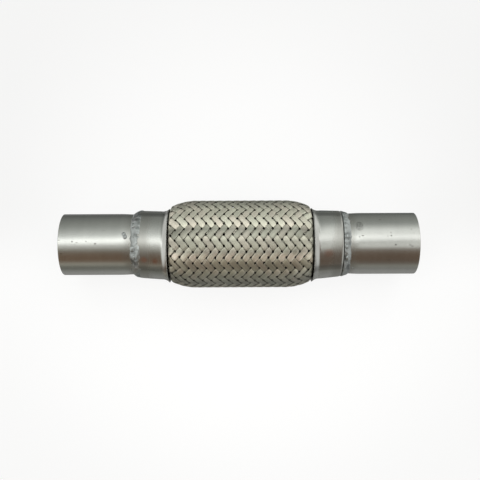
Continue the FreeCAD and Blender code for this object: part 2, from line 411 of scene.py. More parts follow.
# a swept piece's lumps: how much finer and weaker the small ones are, how they bend the ripples, and the
# height over the rest radius at which they are strongest
FINE_LUMPS, FINE_SHARE, RIPPLE_BEND, PROUD = 3.4, 0.22, 14.0, 1.2 * MM


def sweep_tree():
    """A tree that sweeps a section round the pipe's axis: once for a ring, more with a lead for a wound strip.
    Lumps push it out by noise that is strongest where the section stands proud, and loose corners wander."""
    build, given = geometry_tree("sweep_round_the_pipe", {
        "Steps": 96, "Turns": 1.0, "Lead": 0.0, "Lumps": 0.0, "Lump size": 0.004, "Ripple": 0.0, "Ripples": 60.0,
        "Wander": 0.0, "Shift": 0.0, "Rest radius": 0.0, "Seed": 0.0})
    corners = build.out("GeometryNodeAttributeDomainSize", {0: given["Geometry"]}, "Point Count")
    across = corners + 1
    column, corner = build.grid_place(across, corners)
    x, loose, radius = build.split(build.place_of(given["Geometry"], corner))
    turns = column / given["Steps"] * given["Turns"]
    turn = turns * (2 * math.pi)
    moved = x + turns * given["Lead"]

    def rolled(along, out):
        """A point at a place along the pipe and a radius, at this step's turn."""
        return build.xyz(along, out * build.math("SINE", turn), out * build.math("COSINE", turn))

    def noise(place, finer, salt, detail):
        """Noise from about -0.5 to 0.5, the same for one seed."""
        return build.out("ShaderNodeTexNoise", {
            "Vector": place, "Scale": 1.0 / given["Lump size"] * finer, "W": given["Seed"] + salt,
            "Detail": detail, "Roughness": 0.5}, noise_dimensions="4D") - 0.5

    plain = rolled(moved, radius)
    coarse, fine = noise(plain, 1.0, 0.0, 1.0), noise(plain, FINE_LUMPS, 1.9, 1.5)
    slow = noise(rolled(0.0, given["Rest radius"]), 0.7, 3.7, 2.5)
    wave = build.math("SINE", turn * given["Ripples"] + coarse * RIPPLE_BEND)
    proud = build.between(radius - given["Rest radius"], 0.0, PROUD)
    lumps = coarse + fine * FINE_SHARE
    out = radius + (lumps * given["Lumps"] + wave * given["Ripple"]) * proud
    along = moved + slow * given["Wander"] * loose
    spot = build.vector("ADD", rolled(along, out), build.xyz(0.0, given["Shift"] * loose))
    shaped = build.shape("SetPosition", {"Geometry": build.grid(given["Steps"] + 1, across), "Position": spot})
    return build.finish(build.stored(shaped, "lump", lumps * proud), given["Material"])


def drop_tree():
    """A tree that sets a rounded drop of weld metal at each point, by the point's own size and turn."""
    build, given = geometry_tree("weld_drops", {"Detail": 3, "Lumps": 0.25})
    ball = build.shape("MeshIcoSphere", {"Radius": 1.0, "Subdivisions": given["Detail"]})
    laid = build.shape("InstanceOnPoints", {
        "Points": given["Geometry"], "Instance": ball, "Rotation": build.xyz(build.named("turned")),
        "Scale": build.named("size", "FLOAT_VECTOR")})
    lumps = build.noise(build.out("GeometryNodeInputPosition"), 1.0, 1100.0) - 0.5
    push = build.scaled(build.out("GeometryNodeInputNormal"), lumps * (given["Lumps"] * MM))
    shaped = build.shape("SetPosition", {
        "Geometry": build.shape("RealizeInstances", {"Geometry": laid}), "Offset": push})
    return build.finish(shaped, given["Material"])


def drop_points(drops):
    """Drops of weld metal as points: each (x, turn in degrees, radius, length, width, height), in millimetres."""
    mesh = bpy.data.meshes.new("drops")
    places, sizes, turns = [], [], []
    for x, degrees, radius, length, width, height in drops:
        turn = math.radians(degrees)
        places.append((x * MM, -radius * MM * math.sin(turn), radius * MM * math.cos(turn)))
        sizes += [length * MM / 2, width * MM / 2, height * MM / 2]
        turns.append(turn)
    mesh.from_pydata(places, [], [])
    mesh.attributes.new("size", "FLOAT_VECTOR", "POINT").data.foreach_set("vector", sizes)
    mesh.attributes.new("turned", "FLOAT", "POINT").data.foreach_set("value", turns)
    return mesh


def wire_tree():
    """A tree that makes round wire along loose lines."""
    build, given = geometry_tree("loose_wire", {"Radius": 0.0002, "Steps": 10})
    bent = build.shape("CurveSplineType", {
        0: build.shape("MeshToCurve", {0: given["Geometry"]})}, spline_type="CATMULL_ROM")
    even = build.shape("ResampleCurve", {"Curve": bent, "Count": given["Steps"]})
    ring = build.shape("CurvePrimitiveCircle", {"Resolution": 6, "Radius": given["Radius"]})
    wire = build.shape("CurveToMesh", {"Curve": even, "Profile Curve": ring, "Fill Caps": True})
    return build.finish(wire, given["Material"])


def eased_share(share):
    """A share from 0 to 1 that starts and ends softly."""
    share = min(max(share, 0), 1)
    return share * share * (3 - 2 * share)


def rounded(corners, steps=5, support=0.25 * MM):
    """A section whose corners, each (x, radius, rounding), are eased, with a close row beside each rounding."""
    places = []
    for k, (x, radius, ease) in enumerate(corners):
        here = Vector((x, radius))
        if not ease:
            places.append((x, radius))
            continue
        before = (Vector(corners[k - 1][:2]) - here).normalized()
        after = (Vector(corners[(k + 1) % len(corners)][:2]) - here).normalized()
        places.append(tuple(here + before * (ease + support)))
        for j in range(steps + 1):
            share = j / steps
            place = here + before * ease * (1 - share) ** 2 + after * ease * share ** 2
            places.append(tuple(place))
        places.append(tuple(here + after * (ease + support)))
    return places


def tube_section(face, seam, sizes, steps=12):
    """A tube end's wall: square cut and deburred, and drawn in towards its weld."""
    toward = math.copysign(1, seam - face)
    bore = TUBE_RADIUS - sizes.tube_wall
    outside = [(seam - toward * sizes.neck_length * (1 - k / steps),
                TUBE_RADIUS - sizes.neck_draw * eased_share(k / steps), 0) for k in range(steps + 1)]
    return rounded([(face, bore, sizes.edge_round), (face, TUBE_RADIUS, sizes.edge_round)] + outside
                   + [(seam, bore, 0)])


# a collar's plain band: where it starts and ends before the flare's root, how much lower it starts, and its
# share of the wear at the seam
BAND_START = 6 * MM
BAND_END = 2 * MM
BAND_DROP = 0.1 * MM
BAND_WEAR = 0.25


def cap_section(seam, lip, worn, end_round, sizes, steps=10):
    """A collar: a rounded end at its weld, a plain band, and a flare that curves out to a rounded lip."""
    toward = math.copysign(1, lip - seam)
    root = lip - toward * sizes.flare_length
    collar = sizes.cap_outside + sizes.cap_taper
    rise = LIP_RADIUS - collar
    curve = (sizes.flare_length ** 2 + rise ** 2) / (2 * rise)
    turn = math.asin(sizes.flare_length / curve)
    bore = sizes.cap_outside - sizes.cap_wall
    corners = [(seam, bore, 0), (seam, sizes.cap_outside - worn, end_round),
               (root - toward * BAND_START, collar - BAND_DROP - worn * BAND_WEAR, 0),
               (root - toward * BAND_END, collar, 0)]
    for k in range(steps):
        angle = turn * k / steps
        corners.append((root + toward * curve * math.sin(angle), collar + curve * (1 - math.cos(angle)), 0))
    corners += [(lip, LIP_RADIUS, sizes.edge_round), (lip, LIP_RADIUS - sizes.cap_wall, sizes.edge_round),
                (root, bore + sizes.cap_taper, 0)]
    return [(x, radius, (x - seam) / (lip - seam)) for x, radius in rounded(corners)]


# a weld bead: how deep its toe and end are sunk and its underside lies, then how round its hump is, how far
# that leans outward, and how fast the bead grows firm away from its toe
TOE_SUNK = 0.5 * MM
END_SUNK = 0.02 * MM
UNDER_TOE = 0.4 * MM
UNDER_END = 0.5 * MM
UNDER_SEAM = 0.9 * MM
HUMP_ROUNDNESS = 0.75
HUMP_LEAN = 0.35
TOE_LOOSENESS = 0.6


def bead_section(seam, outward, lap, crown, draw, sizes, steps=24):
    """A weld bead's section: a hump from its toe on the tube over the collar's end."""
    toe = Vector((seam + outward * sizes.bead_reach, TUBE_RADIUS - TOE_SUNK))
    end = Vector((seam - outward * lap, sizes.cap_outside - END_SUNK - draw))
    places = []
    for k in range(steps + 1):
        share = k / steps
        base = toe.lerp(end, share)
        lift = crown * math.sin(math.pi * share) ** HUMP_ROUNDNESS
        places.append((base.x + outward * lift * HUMP_LEAN, base.y + lift, (1 - share) ** TOE_LOOSENESS))
    places += [(end.x, end.y - UNDER_END, 0), (seam, TUBE_RADIUS - UNDER_SEAM, 0), (toe.x, toe.y - UNDER_TOE, 1)]
    return places


# a bellows' folds: their roots above the cuff, the plain run at each end, their crests below the braid and
# below its belly, and how round the crests are
ROOT_RISE = 2.2 * MM
PLAIN_RUN = 1.5 * MM
UNDER_BRAID = 1.6 * MM
UNDER_BELLY = 2.3 * MM
CREST_ROUNDNESS = 0.8


def bellows_section(start, end, cuff, folds, wall, samples=16):
    """A corrugated wall: plain cuffs and folds with round crests and roots."""
    root = cuff + ROOT_RISE
    outside = [(INLET_SEAM, cuff), (start - PLAIN_RUN, cuff)]
    for k in range(folds * samples + 1):
        x = start + (end - start) * k / (folds * samples)
        wave = (0.5 - 0.5 * math.cos(2 * math.pi * k / samples)) ** CREST_ROUNDNESS
        crest = min(braid_radius(x) - UNDER_BRAID, BELLY_RADIUS - UNDER_BELLY)
        outside.append((x, root + max(crest - root, 0) * wave))
    outside += [(end + PLAIN_RUN, cuff), (OUTLET_SEAM, cuff)]
    return outside + [(x, radius - wall) for x, radius in outside[::-1]]


def liner_section(pitch, outer, wall):
    """One turn of the interlocking strip: a flat land, a step, and hooked edges that hold its neighbours."""
    inner = outer - 3.2 * wall
    middle, floor = outer - 1.3 * wall, inner + 0.6 * wall
    return [(pitch * share, radius) for share, radius in (
        (0, outer), (0.86, outer), (0.98, outer - wall), (0.98, inner + wall), (0.9, inner + wall), (0.9, middle),
        (0.12, middle), (0.12, floor), (0.72, floor), (0.76, inner), (0, inner), (-0.02, inner + 0.5 * wall))]


def braid_radius(x):
    """The braid's outer radius at x: a straight belly rounded down towards both lips."""
    drop = BELLY_RADIUS - LIP_RADIUS + 0.3 * MM
    curve = (SHOULDER ** 2 + drop ** 2) / (2 * drop)
    beyond = max(abs(x - BRAID_MIDDLE) - (HALF_BRAID - SHOULDER), 0)
    return BELLY_RADIUS - curve + math.sqrt(max(curve ** 2 - min(beyond, SHOULDER * 1.1) ** 2, 0))


def strand_line(sizes):
    """The line that strands follow, as points one step of the lattice apart, and how many lie before its
    first column: over the belly, down both shoulders and in under the lips, with strands of one length
    between crossings."""
    rest = sizes.wave + sizes.thickness / 2

    def height(x):
        """The middle of the braid's wall at x."""
        share = eased_share((abs(x - BRAID_MIDDLE) - (HALF_BRAID - 2.5 * MM)) / (1.8 * MM))
        return (braid_radius(x) - rest) * (1 - share) + MOUTH_RADIUS * share

    row = math.pi / sizes.strand_pairs
    cell = math.hypot(sizes.column_step, row * BELLY_RADIUS)
    lines = []
    for step in (-0.05 * MM, 0.05 * MM):
        x = sizes.first_column
        line, counted = [], 0.0
        while abs(x - BRAID_MIDDLE) < HALF_BRAID + 4.2 * MM:
            after = x + step
            run = math.hypot(step, height(after) - height(x))
            across = row * height((x + after) / 2)
            counted += run / math.sqrt(cell ** 2 - across ** 2)
            x = after
            if counted >= (len(line) + 1) / sizes.crossing_steps:
                line.append((x, height(x)))
        lines.append(line)
    before, beyond = lines
    return before[::-1] + [(sizes.first_column, height(sizes.first_column))] + beyond, len(before)


# a strand's form: its wires' ridges, its crown and its underside in parts of its thickness and width, how
# sharply it is notched beside a space and goes from over to under, its random ranges, how far it strays in
# parts of the pitch, and the points over which its ends lie down
WIRE_RIDGE, CROWN, UNDERSIDE, NOTCH, OVER_UNDER = 0.32, 0.5, 0.85, 4.0, 3.6
WIDTHS, PINCHES, STRAY, END_POINTS = (0.95, 1.03), (0.45, 1.25), 0.16, 8.0


def strand_tree():
    """A tree that lays all the strands of one direction: flat bands of wires, each over two and under two."""
    build, given = geometry_tree("wire_strands", {
        "Strands": 24, "Wires": 8, "Wire steps": 3, "Crossing steps": 4, "Zero step": 0, "Direction": 1.0,
        "Phase": 0.0, "Cover": 0.86, "Pinch": 0.2, "Thickness": 0.0005, "Wave": 0.0004, "Seed": 7})
    stations = build.out("GeometryNodeAttributeDomainSize", {0: given["Geometry"]}, "Point Count")
    top = given["Wires"] * given["Wire steps"]
    around = top + 3
    across = around + 1
    station, place = build.grid_place(across, around)
    strand = build.stored(build.stored(build.grid(stations, across), "station", station), "place", place)
    starts = build.shape("MeshLine", {"Count": given["Strands"], "Offset": (0.0, 0.0, 0.0)})
    starts = build.stored(starts, "strand", build.out("GeometryNodeInputIndex"))
    laid = build.shape("InstanceOnPoints", {"Points": starts, "Instance": strand})
    real = build.shape("RealizeInstances", {"Geometry": laid})
    station, place, strand = build.named("station"), build.named("place"), build.named("strand")

    def chance(low, high, salt, identity):
        """A seeded random number for each strand, float or space."""
        node = build.node("FunctionNodeRandomValue", data_type="FLOAT")
        least, most = [socket for socket in node.inputs if socket.enabled and socket.type == "VALUE"][:2]
        build.feed(least, low)
        build.feed(most, high)
        build.feed(node.inputs["ID"], identity)
        build.feed(node.inputs["Seed"], given["Seed"] + salt)
        return Value(build, [socket for socket in node.outputs if socket.enabled][0])

    # the section: wires side by side on top, two corners below
    on_top = build.math("MINIMUM", place, top)
    wire = on_top / given["Wire steps"]
    side = on_top / top * 2.0 - 1.0
    ridge = abs(build.math("SINE", wire * math.pi))
    crown = 1.0 - build.math("POWER", abs(side), 4.0)
    below = build.math("GREATER_THAN", place, top + 0.5)
    under_side = build.math("LESS_THAN", place, top + 1.5) * (2 * UNDERSIDE) - UNDERSIDE
    side = side * (1.0 - below) + under_side * below
    lift = (ridge * WIRE_RIDGE + crown * CROWN - WIRE_RIDGE) * (1.0 - below) - CROWN * below

    # the lattice: column and row of each vertex, the strand's own crossing row, and its small differences
    column = (station - given["Zero step"]) / given["Crossing steps"]
    centre_row = column * given["Direction"] + (strand * 2.0 + 1.0)
    wander = build.noise(build.xyz(column * 0.31, strand * 7.3, given["Direction"] * 5.0), 1.0)
    beside = build.math("POWER", 0.501 - 0.5 * build.math("COSINE", centre_row * (2 * math.pi)), NOTCH)
    space_key = strand * 53.0 + build.math("FLOOR", centre_row)
    pinch = given["Pinch"] * chance(*PINCHES, 9, space_key)
    width = given["Cover"] * chance(*WIDTHS, 1, strand) * (1.0 - beside * pinch)
    skew = side * width * 0.5 + (wander - 0.5) * STRAY
    row = centre_row - skew * given["Direction"]
    beat = build.math("COSINE", (centre_row - 3.5) * (math.pi / 2)) * given["Direction"]
    wave = build.math("TANH", beat * OVER_UNDER)

    # the line in space, read between the two nearest of its points
    step = (column + skew) * given["Crossing steps"] + given["Zero step"]
    step = build.out("ShaderNodeClamp", {0: step, 1: 0.0, 2: stations - 1.001})
    low = build.math("FLOOR", step)
    first, second = (build.place_of(given["Geometry"], low + shift, True) for shift in (0, 1))
    middle = build.out("ShaderNodeMix", {0: step - low, 4: first, 5: second}, 1, data_type="VECTOR")
    slope_x, _, slope_r = build.split(build.vector("NORMALIZE", build.vector("SUBTRACT", second, first)))
    x, _, radius = build.split(middle)
    ends = build.between(station, 0.0, END_POINTS) * build.between(stations - 1.0 - station, 0.0, END_POINTS)
    out = wave * given["Wave"] * ends + lift * given["Thickness"] * build.math("MINIMUM", 1.0, ends + 0.3)
    x = x - out * slope_r
    radius = radius + out * slope_x
    turn = row * (math.pi / given["Strands"]) + given["Phase"]
    spot = build.xyz(x, radius * build.math("SINE", turn) * -1.0, radius * build.math("COSINE", turn))
    shaped = build.shape("SetPosition", {"Geometry": real, "Position": spot})

    # what the wire's finish reads: which float this is, and the place across and along the strand
    float_key = strand * 37.0 + build.math("FLOOR", (centre_row - 1.5) / 4.0)
    tone = chance(0.0, 1.0, 5, float_key)
    for name, value in (("tone", tone), ("across", wire), ("along", column), ("winding", given["Direction"])):
        shaped = build.stored(shaped, name, value)
    shaped = build.stored(shaped, "strand_map", build.xyz(column, wire / 8.0), "FLOAT2", "CORNER")
    return build.finish(shaped, given["Material"])


def ring_brushing():
    """Brush lines round the pipe: fine bands along it, each faded and broken round its turn."""
    build, given = group("Shader", "ring_brushing", {"Position": "Vector", "Lines": 2600.0, "Depth": 0.1},
                         ("Shade", "Line"), "Float")
    x, y, z = build.split(given["Position"])

    def lines(scale, around, detail):
        """Noise drawn out round the pipe."""
        return build.noise(build.xyz(x * scale, y * around, z * around), detail, Roughness=0.6)

    both = lines(given["Lines"], 45.0, 3.0) * 0.6 + lines(given["Lines"] * 0.16, 22.0, 2.0) * 0.4
    build.node("NodeGroupOutput", {0: 1.0 + (both - 0.5) * (given["Depth"] * 4.0), 1: both})
    return build.tree


def specks():
    """Small dark pits, one in some cells of a scattered grid."""
    build, given = group("Shader", "specks", {
        "Position": "Vector", "Spacing": 0.006, "Size": 0.08, "Share": 0.25}, ("Mask",), "Float")
    cells = build.outs("ShaderNodeTexVoronoi", {
        "Vector": given["Position"], "Scale": 1.0 / given["Spacing"], "Randomness": 1.0})
    near = build.between(cells["Distance"], given["Size"], given["Size"] * 0.3)
    pick = build.math("LESS_THAN", build.split(cells["Color"])[0], given["Share"])
    build.node("NodeGroupOutput", {0: near * pick})
    return build.tree


def uneven_tone():
    """A slow drift of tone over a surface."""
    build, given = group("Shader", "uneven_tone", {"Position": "Vector", "Size": 0.012, "Depth": 0.1},
                         ("Shade", "Drift"), "Float")
    drift = build.noise(given["Position"], 3.0, 1.0 / given["Size"])
    build.node("NodeGroupOutput", {0: 1.0 + (drift - 0.5) * (given["Depth"] * 3.0), 1: drift})
    return build.tree


class Surface(Formula):
    """The formula of a material, with its shader's inputs and each point's place on its piece."""

    def __init__(self, name, **plain):
        self.material = bpy.data.materials.new(name)
        self.material.use_nodes = True
        super().__init__(self.material.node_tree)
        self.shader = self.tree.nodes["Principled BSDF"].inputs
        for key, value in plain.items():
            self.shader[key.replace("_", " ")].default_value = value
        self.position = self.out("ShaderNodeTexCoord", pick="Object")

    def effect(self, make, **values):
        """What an effect's group puts out here, the group being built the first time."""
        tree = bpy.data.node_groups.get(make.__name__) or make()
        return self.outs("ShaderNodeGroup", {"Position": self.position, **values}, node_tree=tree)

    def greatest(self, masks):
        """The greatest of some masks."""
        found = 0.0
        for mask in masks:
            found = self.math("MAXIMUM", found, mask)
        return found

    def from_axis(self):
        """How far a point lies from the pipe's axis."""
        _, y, z = self.split(self.position)
        return self.math("SQRT", y * y + z * z)

    def turn(self):
        """A point's turn about the pipe from its top."""
        _, y, z = self.split(self.position)
        return self.math("ARCTAN2", y, z)

    def away(self, x, y, long, wide, radius):
        """How far a point lies from one on the pipe's top, against half a length and a width in millimetres."""
        place = (x * MM, y * MM, radius * math.cos(math.asin(y * MM / radius)))
        spot = self.vector("DIVIDE", self.vector("SUBTRACT", self.position, place),
                           (long * MM, wide * MM, wide * MM))
        return self.length(spot)

    def marked(self, marks, radius, core=0.6):
        """A mask of marks, each (x, y across the top, length along, length round, depth) in millimetres."""
        return self.greatest(
            self.eased(self.away(x, y, long, wide, radius), core, 1.0, depth, 0.0) for x, y, long, wide, depth in marks)

    def coloured(self, colour, roughness, relief=None, depth=0.0):
        """The material, with the colour, roughness and fine relief that are given."""
        self.feed(self.shader["Base Color"], colour)
        self.feed(self.shader["Roughness"], roughness)
        if relief:
            self.feed(self.shader["Normal"], self.out("ShaderNodeBump", {
                "Height": relief, "Distance": depth, "Strength": 1.0}))
        return self.material


def steel(name, anisotropic=0.0, metallic=1.0, **tangent):
    """A metal surface. Brushed metal blurs what it shows along the pipe, and wire across its own length."""
    surface = Surface(name, Metallic=metallic, Anisotropic=anisotropic)
    if tangent:
        surface.feed(surface.shader["Tangent"], surface.out("ShaderNodeTangent", **tangent))
    return surface


# pits and short scratches on the tube ends, and the scuffed patch beside the outlet weld
TUBE_MARKS = (
    (-126.0, 2.7, 0.9, 0.35, 0.6), (-116.7, 1.6, 0.6, 0.55, 1.0), (-113.6, 0.9, 1.0, 0.3, 0.6),
    (-100.6, 0.1, 0.9, 0.45, 1.0), (-107.0, 1.8, 0.6, 0.4, 0.7), (-95.0, 9.5, 0.6, 0.35, 0.6),
    (106.6, 4.9, 0.8, 0.45, 1.0), (104.2, 4.7, 0.5, 0.35, 0.8), (109.5, -1.4, 0.9, 0.5, 0.9),
    (119.6, -1.6, 0.7, 0.35, 0.9), (121.1, -2.4, 0.8, 0.35, 0.9), (100.0, 16.5, 0.6, 0.45, 0.8),
    (105.3, -12.0, 0.6, 0.4, 0.8), (86.6, 5.0, 1.1, 0.4, 0.8), (84.4, 4.2, 0.6, 0.4, 0.8))
SCUFF = (84.8, 12.0, 3.0, 4.5)
# where the weld's heat has tinted the caps, and painted dark reflection bands along them as (turn in degrees, depth)
CAP_RADIUS = 24.2 * MM
WARM_PATCHES = ((-66.5, -11.0, 3.6, 3.4, 0.5), (-58.8, -11.8, 3.0, 3.4, 0.5), (62.5, -7.0, 5.0, 4.2, 0.35))
COLLAR_PAINTED_BANDS = ((-44, 0.55), (59, 0.5))
# what dulls the steel, and the dark of the collars' painted reflection bands
STAIN = (0.36, 0.35, 0.32, 1)
BORE_DARK = (0.3, 0.29, 0.27, 1)
PAINTED_BAND_DARK = (0.2, 0.2, 0.19, 1)
WARM_TINT = (0.62, 0.3, 0.2, 1)
PIT_DIRT = (0.12, 0.11, 0.1, 1)


def scuffed(surface):
    """Curved rub marks in one patch beside the outlet weld."""
    away = surface.away(*SCUFF, TUBE_RADIUS)
    drift = surface.noise(surface.position, 2.0, 700.0)
    ring = surface.math("SINE", away * 21.0 + drift * 9.0)
    return surface.eased(away, 0.6, 1.1, 0.8, 0.0) * surface.eased(ring, -0.2, 0.8, 0.0, 1.0)


def tube_wear(surface, colour, pits):
    """The tube ends' own pits, scratches and scuffed patch."""
    return colour, surface.greatest((pits, surface.marked(TUBE_MARKS, TUBE_RADIUS), scuffed(surface)))


def collar_wear(surface, colour, pits):
    """The collars' painted dark reflection bands and warm patches."""
    turn = surface.turn()
    # painted reflection: dark bands along the collar at fixed turns, standing in for the dark parts of the room that
    # the metal would show
    painted_bands = surface.greatest(
        surface.eased(abs(turn - math.radians(middle)), math.radians(2), math.radians(9), depth, 0.0)
        for middle, depth in COLLAR_PAINTED_BANDS)
    colour = surface.mixed(painted_bands, colour, PAINTED_BAND_DARK)
    return surface.mixed(surface.marked(WARM_PATCHES, CAP_RADIUS, 0.2), colour, WARM_TINT), pits


def brushed_steel(name, colour, brushing, roughness, anisotropic, bore, marks_and_painted_bands):
    """Steel brushed round the pipe, with pits, a slow drift of tone, a dull stain beside its weld, a plainer, duller
    bore, and
    marks of its own: wear on the tube ends, painted dark reflection bands and heat tint on the collars."""
    surface = steel(name, anisotropic, direction_type="RADIAL", axis="X")
    brush = surface.effect(ring_brushing, Depth=brushing)
    tone = surface.effect(uneven_tone, Size=0.02, Depth=0.06)
    x = surface.split(surface.position)[0]
    stain = surface.greatest(
        surface.eased(abs(x - weld) + (tone["Drift"] - 0.5) * 0.01, 0.011, 0.005, 0.0, 0.45)
        for weld in (INLET_SEAM, OUTLET_SEAM))
    inside = surface.between(surface.from_axis(), bore + 0.5 * MM, bore + 0.1 * MM)
    dull = surface.mixed(stain, surface.scaled((*colour,), brush["Shade"] * tone["Shade"]), STAIN)
    # the bore is darker and duller
    dull = surface.mixed(inside * 0.6, dull, BORE_DARK)
    pits = surface.effect(specks, Spacing=0.007, Size=0.07, Share=0.3)["Mask"]
    dull, pits = marks_and_painted_bands(surface, dull, pits)
    rough = roughness - 0.03 + brush["Line"] * 0.06 + (stain + inside) * 0.12
    return surface.coloured(surface.mixed(pits, dull, PIT_DIRT), rough, brush["Line"], 0.003 * MM)


BURNT, WELD_PIT = (0.2, 0.16, 0.12, 1), (0.05, 0.05, 0.05, 1)


def weld_metal(colour):
    """Grey weld metal: painted highlight on its lumps and painted shade in the dips between them, and a few brown burnt
    patches.
    """
    surface = steel("weld_metal")
    lump = surface.out("ShaderNodeAttribute", pick="Fac", attribute_name="lump")
    coarse = surface.effect(uneven_tone, Size=0.0035, Depth=0.14)
    fine = surface.effect(uneven_tone, Size=0.0011, Depth=0.12)
    pits = surface.effect(specks, Spacing=0.002, Size=0.16, Share=0.3)
    # painted light: lump tops lighter and the dips darker, by the stored lump height
    shade = coarse["Shade"] * fine["Shade"] * surface.eased(lump, -0.16, 0.04, 0.5, 1.05)
    burnt = surface.eased(coarse["Drift"], 0.4, 0.3, 0.0, 0.4)
    colour = surface.mixed(burnt, surface.scaled((*colour,), shade), BURNT)
    colour = surface.mixed(pits["Mask"], colour, WELD_PIT)
    return surface.coloured(colour, surface.between(fine["Drift"], 0.3, 0.7, 0.36, 0.5), fine["Drift"], 0.06 * MM)


# slow bands of painted reflection on each winding, lighter and darker by turn, as (turn from the top in degrees,
# colour), repeated on the far half
LEFT_PAINTED_REFLECTIONS = (
    (-86, (0.8, 0.8, 0.82)), (-60, (0.8, 0.81, 0.84)), (-46, (0.8, 0.8, 0.8)), (-38, (0.96, 0.94, 0.91)),
    (-29, (1.22, 1.15, 1.12)), (-22, (1.6, 1.5, 1.5)), (-17, (1.38, 1.3, 1.29)), (-11, (0.82, 0.81, 0.82)),
    (-4, (0.86, 0.86, 0.85)), (10, (0.7, 0.71, 0.71)), (18, (0.51, 0.52, 0.52)), (24, (0.92, 0.92, 0.92)),
    (38, (1.04, 1.04, 1.04)), (50, (1.22, 1.22, 1.22)), (60, (0.88, 0.88, 0.9)), (73, (0.62, 0.63, 0.64)))
RIGHT_PAINTED_REFLECTIONS = (
    (-86, (0.66, 0.66, 0.7)), (-62, (0.62, 0.64, 0.68)), (-50, (0.74, 0.75, 0.77)), (-40, (0.74, 0.73, 0.71)),
    (-31, (0.64, 0.6, 0.56)), (-24, (0.74, 0.69, 0.64)), (-14, (0.88, 0.87, 0.85)), (-5, (0.95, 0.95, 0.94)),
    (2, (0.75, 0.75, 0.75)), (8, (1.22, 1.23, 1.23)), (16, (1.1, 1.1, 1.1)), (24, (1.38, 1.37, 1.37)),
    (30, (1.26, 1.26, 1.27)), (38, (1.22, 1.21, 1.21)), (46, (1.06, 1.06, 1.06)), (73, (0.66, 0.67, 0.68)))


SPLAYED_SHARE, PINK_FROM = 0.07, 0.8
PALE_WIRE, PINK_WIRE = (0.69, 0.69, 0.57, 1), (0.73, 0.69, 0.58, 1)


def wire_steel(plain, wires):
    """Drawn wire laid in strands: each winding has slow bands of painted reflection, every float its own tone, each
    wire has painted shade along its edges (deeper on a few splayed floats), and painted shade lies along the strands'
    edges and in under the lips."""
    surface = steel("braid_wire", 0.85, 0.7, direction_type="UV_MAP", uv_map="strand_map")
    tone, across, along, winding = (
        surface.out("ShaderNodeAttribute", pick="Fac", attribute_name=name)
        for name in ("tone", "across", "along", "winding"))
    other, third = surface.math("FRACT", tone * 7.0), surface.math("FRACT", tone * 31.0)
    splayed = surface.math("LESS_THAN", third, SPLAYED_SHARE)
    # painted shade in the creases between wires, deeper on splayed floats
    groove_shade = surface.eased(abs(surface.math("FRACT", across) - 0.5), 0.3, 0.5, 0.0, 1.0) * (0.3 + splayed * 0.45)
    drawn = surface.noise(surface.xyz(along * 0.8, surface.math("FLOOR", across), tone * 40.0), 2.0)
    patches = surface.effect(uneven_tone, Size=0.016, Depth=0.1)
    shade = (0.84 + tone * 0.15) * (0.82 + drawn * 0.4) * patches["Shade"] * (1.0 - groove_shade)
    # painted shade along each strand's edges, where its neighbour overlaps it
    beside = wires / 2 - abs(across - wires / 2)
    shade = shade * surface.eased(beside, 0.05, 0.6, 0.3, 1.0)
    # painted shade: the wire goes nearly black in under the collars' lips
    x = surface.split(surface.position)[0]
    from_lip = surface.math("MINIMUM", x - INLET_LIP, OUTLET_LIP - x)
    shade = shade * surface.eased(from_lip, 0.5 * MM, 1.3 * MM, 0.06, 1.0)
    # painted reflection: each winding's floats are made lighter or darker by their turn about the pipe, as the room's
    # light would show on wire of that lay
    half_turn = surface.math("FRACT", surface.turn() / math.pi + 0.5)
    slow = surface.mixed(surface.between(winding, -1.0, 1.0), surface.banded(half_turn, LEFT_PAINTED_REFLECTIONS, 90, 1.6),
                         surface.banded(half_turn, RIGHT_PAINTED_REFLECTIONS, 90, 1.6))
    colour = surface.mixed(surface.between(other, 0.0, 0.7), (*plain, 1), PALE_WIRE)
    colour = surface.mixed(surface.math("GREATER_THAN", other, PINK_FROM), colour, PINK_WIRE)
    return surface.coloured(surface.scaled(surface.vector("MULTIPLY", colour, slow), shade), 0.34 + drawn * 0.12)


def loose_steel():
    """Bright springy wire, for the ends that stand out of the braid."""
    surface = steel("loose_wire_steel")
    tone = surface.effect(uneven_tone, Size=0.001, Depth=0.15)
    return surface.coloured(surface.scaled((0.8, 0.77, 0.68), tone["Shade"]), 0.3)


def rolled_steel(name, colour, depth_shade):
    """Rolled sheet: lengthways drift, light stains, and painted shade that darkens it by its distance from the axis."""
    surface = steel(name)
    tone = surface.effect(uneven_tone, Size=0.008, Depth=0.14)
    brush = surface.effect(ring_brushing, Lines=1400.0, Depth=0.06)
    # painted shade: darker by its distance from the axis, where it lies deeper in the pipe
    shade = tone["Shade"] * brush["Shade"] * surface.eased(surface.from_axis(), *depth_shade)
    return surface.coloured(surface.scaled((*colour,), shade), surface.between(tone["Drift"], 0.3, 0.7, 0.28, 0.42),
                            brush["Line"], 0.01 * MM)


def swept(name, section, inputs, node_name):
    """Sweeps a section round the pipe into a piece that replaces a node."""
    tree = bpy.data.node_groups.get("sweep_round_the_pipe") or sweep_tree()
    return grown(name, made_points(section), tree, inputs, node_name)


class PIPE_OT_tube_ends(bpy.types.Operator):
    """Builds both tube ends."""

    bl_idname = "pipe.tube_ends"
    bl_label = "Tube Ends"

    def execute(self, context):
        sizes, finish = context.scene.pipe_sizes, context.scene.pipe_finish
        material = brushed_steel("brushed_tube", finish.tube_colour, finish.brushing, 0.2, 0.9,
                                 TUBE_RADIUS - sizes.tube_wall, tube_wear)
        for name, face, seam in (("inlet_tube", INLET_FACE, INLET_SEAM), ("outlet_tube", OUTLET_FACE, OUTLET_SEAM)):
            swept(name, tube_section(face, seam, sizes), {"Steps": sizes.turn_steps, "Material": material},
                  name + "_end")
        return {"FINISHED"}


